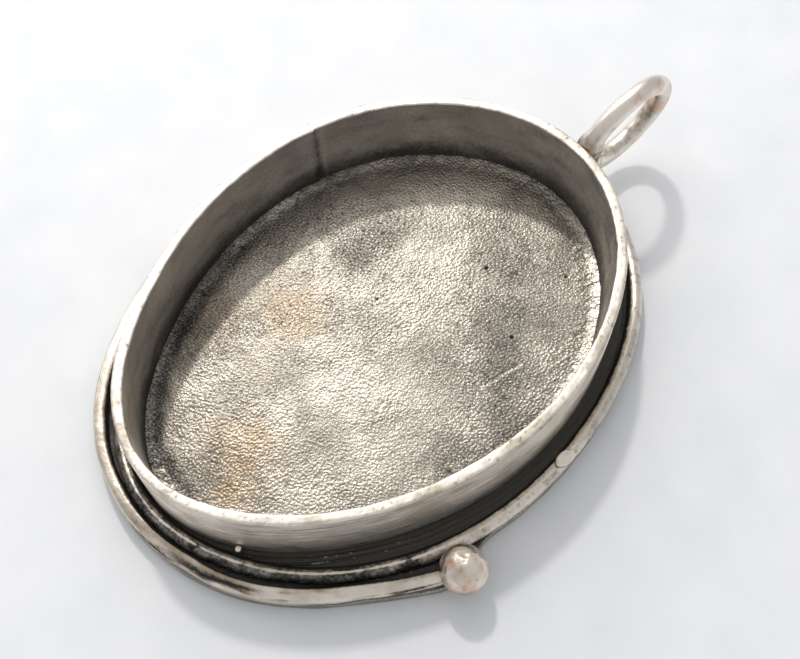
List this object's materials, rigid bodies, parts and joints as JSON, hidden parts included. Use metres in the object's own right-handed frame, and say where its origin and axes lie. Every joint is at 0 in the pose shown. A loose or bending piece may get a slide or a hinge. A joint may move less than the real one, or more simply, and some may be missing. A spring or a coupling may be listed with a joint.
{
  "type": "oval bezel cup pendant",
  "caption": "Oval open bezel cup pendant in antique silver, with wire borders on a flared back plate, soldered granules and a fixed hanging loop.",
  "frame": {"origin": "centre of the cup, on the underside of the back plate", "axes": "+Y along the oval's long axis towards the hanging loop, +Z out of the mouth of the cup, +X to the right seen from the front"},
  "size_m": [0.0391, 0.0554, 0.0115],
  "materials": {
    "plate_silver": "oxidised and worn, grained on the cup's floor",
    "wall_silver": "filed and oxidised, bright on the rim",
    "solder": "dark, matt",
    "wire_silver": "worn bright on top, dark in the grooves",
    "granule_silver": "burnished",
    "loop_silver": "satin, darker inside the ring"
  },
  "bodies": {
    "root": {"back_plate": "plate_silver", "bezel_wall": "wall_silver", "bezel_seam": "solder", "outer_border_wire": "wire_silver", "inner_border_wire": "wire_silver", "large_granule": "granule_silver", "flattened_bead": "granule_silver", "small_granule": "granule_silver", "bail_loop": "loop_silver"}
  },
  "joints": []
}
